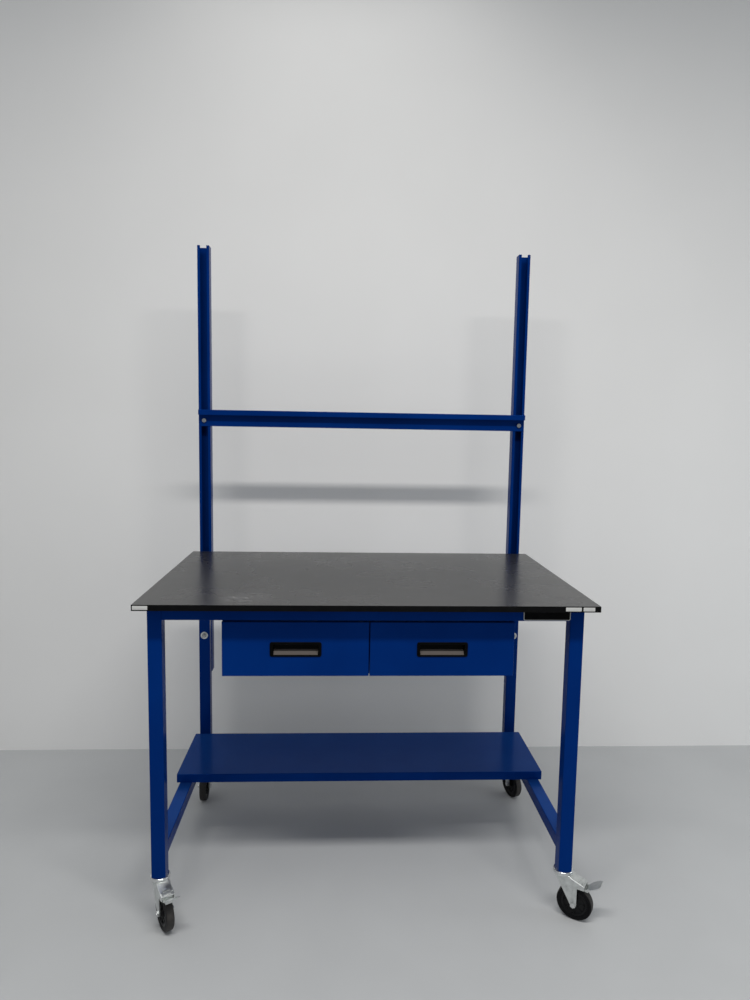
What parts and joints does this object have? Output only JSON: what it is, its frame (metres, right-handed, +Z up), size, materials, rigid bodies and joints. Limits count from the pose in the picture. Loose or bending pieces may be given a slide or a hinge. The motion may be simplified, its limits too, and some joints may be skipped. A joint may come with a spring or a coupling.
{
  "type": "lab bench",
  "caption": "Mobile lab bench: dark worktop on a blue square-tube frame with braked swivel casters, under-top drawers, steel lower shelf and strut uprights carrying a ledge rail.",
  "frame": {"origin": "on the floor, midway between the four caster swivel axes", "axes": "+X to the user's right, +Y from the user to the back, +Z up"},
  "size_m": [1.2721, 0.8324, 1.99],
  "materials": {
    "worktop_charcoal": "fine matt laminate",
    "blue_paint": "glossy powder coat",
    "zinc": "bright zinc plate",
    "tyre_black": "hard rubber, slightly worn",
    "hub_black": "moulded nylon",
    "pull_black": "fine grained moulding",
    "plate_black": "satin"
  },
  "bodies": {
    "bench": {"apron_front": "blue_paint", "apron_left": "blue_paint", "apron_rear": "blue_paint", "apron_right": "blue_paint", "caster_stems": "zinc", "drawer_housing_left": "blue_paint", "drawer_housing_right": "blue_paint", "drawer_runner_outer_left": "zinc", "drawer_runner_outer_right": "zinc", "ledge_bolts": "zinc", "ledge_rail": "blue_paint", "leg_front_left": "blue_paint", "leg_front_right": "blue_paint", "leg_inserts": "zinc", "leg_rear_left": "blue_paint", "leg_rear_right": "blue_paint", "lower_shelf": "blue_paint", "name_plate": "plate_black", "shelf_bolts": "zinc", "stretcher_left": "blue_paint", "stretcher_right": "blue_paint", "strut_nuts": "zinc", "tabletop": "worktop_charcoal", "tabletop_screws": "zinc", "upright_bolts": "zinc", "upright_left": "blue_paint", "upright_right": "blue_paint"},
    "drawer_left": {"drawer_front_left": "blue_paint", "drawer_pull_left": "pull_black", "drawer_box_left": "blue_paint", "drawer_runner_inner_left": "zinc", "drawer_screws_left": "zinc"},
    "runner_middle_left": {"drawer_runner_middle_left": "zinc"},
    "drawer_right": {"drawer_front_right": "blue_paint", "drawer_pull_right": "pull_black", "drawer_box_right": "blue_paint", "drawer_runner_inner_right": "zinc", "drawer_screws_right": "zinc"},
    "runner_middle_right": {"drawer_runner_middle_right": "zinc"},
    "swivel_front_left": {"caster_front_left_fork": "zinc", "caster_front_left_axle": "zinc"},
    "wheel_front_left": {"caster_front_left_tyre": "tyre_black", "caster_front_left_hub": "hub_black"},
    "pedal_front_left": {"caster_front_left_pedal": "zinc"},
    "swivel_front_right": {"caster_front_right_fork": "zinc", "caster_front_right_axle": "zinc"},
    "wheel_front_right": {"caster_front_right_tyre": "tyre_black", "caster_front_right_hub": "hub_black"},
    "pedal_front_right": {"caster_front_right_pedal": "zinc"},
    "swivel_rear_left": {"caster_rear_left_fork": "zinc", "caster_rear_left_axle": "zinc"},
    "wheel_rear_left": {"caster_rear_left_tyre": "tyre_black", "caster_rear_left_hub": "hub_black"},
    "pedal_rear_left": {"caster_rear_left_pedal": "zinc"},
    "swivel_rear_right": {"caster_rear_right_fork": "zinc", "caster_rear_right_axle": "zinc"},
    "wheel_rear_right": {"caster_rear_right_tyre": "tyre_black", "caster_rear_right_hub": "hub_black"},
    "pedal_rear_right": {"caster_rear_right_pedal": "zinc"}
  },
  "joints": [
    {"name": "drawer_left_slide", "type": "slide", "parent": "bench", "child": "drawer_left", "axis": [0, -1, 0], "range_m": [0, 0.42]},
    {"name": "runner_middle_left_slide", "type": "slide", "parent": "bench", "child": "runner_middle_left", "axis": [0, -1, 0], "range_m": [0, 0.21]},
    {"name": "drawer_right_slide", "type": "slide", "parent": "bench", "child": "drawer_right", "axis": [0, -1, 0], "range_m": [0, 0.42]},
    {"name": "runner_middle_right_slide", "type": "slide", "parent": "bench", "child": "runner_middle_right", "axis": [0, -1, 0], "range_m": [0, 0.21]},
    {"name": "caster_front_left_swivel", "type": "hinge", "parent": "bench", "child": "swivel_front_left", "pos_m": [-0.56515, -0.33655, 0.13], "axis": [0, 0, 1], "continuous": true},
    {"name": "caster_front_left_roll", "type": "hinge", "parent": "swivel_front_left", "child": "wheel_front_left", "pos_m": [-0.54554, -0.36793, 0.05], "axis": [0.848, 0.5299, 0], "continuous": true},
    {"name": "caster_front_left_brake", "type": "hinge", "parent": "swivel_front_left", "child": "pedal_front_left", "pos_m": [-0.53548, -0.38404, 0.106], "axis": [0.848, 0.5299, 0], "range_deg": [0, 8]},
    {"name": "caster_front_right_swivel", "type": "hinge", "parent": "bench", "child": "swivel_front_right", "pos_m": [0.56515, -0.33655, 0.13], "axis": [0, 0, 1], "continuous": true},
    {"name": "caster_front_right_roll", "type": "hinge", "parent": "swivel_front_right", "child": "wheel_front_right", "pos_m": [0.59582, -0.35724, 0.05], "axis": [0.5592, 0.829, 0], "continuous": true},
    {"name": "caster_front_right_brake", "type": "hinge", "parent": "swivel_front_right", "child": "pedal_front_right", "pos_m": [0.61158, -0.36786, 0.106], "axis": [0.5592, 0.829, 0], "range_deg": [0, 8]},
    {"name": "caster_rear_left_swivel", "type": "hinge", "parent": "bench", "child": "swivel_rear_left", "pos_m": [-0.56515, 0.33655, 0.13], "axis": [0, 0, 1], "continuous": true},
    {"name": "caster_rear_left_roll", "type": "hinge", "parent": "swivel_rear_left", "child": "wheel_rear_left", "pos_m": [-0.56515, 0.29955, 0.05], "axis": [1, 0, 0], "continuous": true},
    {"name": "caster_rear_left_brake", "type": "hinge", "parent": "swivel_rear_left", "child": "pedal_rear_left", "pos_m": [-0.56515, 0.28055, 0.106], "axis": [1, 0, 0], "range_deg": [0, 8]},
    {"name": "caster_rear_right_swivel", "type": "hinge", "parent": "bench", "child": "swivel_rear_right", "pos_m": [0.56515, 0.33655, 0.13], "axis": [0, 0, 1], "continuous": true},
    {"name": "caster_rear_right_roll", "type": "hinge", "parent": "swivel_rear_right", "child": "wheel_rear_right", "pos_m": [0.57781, 0.30178, 0.05], "axis": [0.9397, 0.342, 0], "continuous": true},
    {"name": "caster_rear_right_brake", "type": "hinge", "parent": "swivel_rear_right", "child": "pedal_rear_right", "pos_m": [0.5843, 0.28393, 0.106], "axis": [0.9397, 0.342, 0], "range_deg": [0, 8]}
  ],
  "couplings": [
    {"joint": "runner_middle_left_slide", "follows": "drawer_left_slide", "ratio": 0.5},
    {"joint": "runner_middle_right_slide", "follows": "drawer_right_slide", "ratio": 0.5}
  ]
}
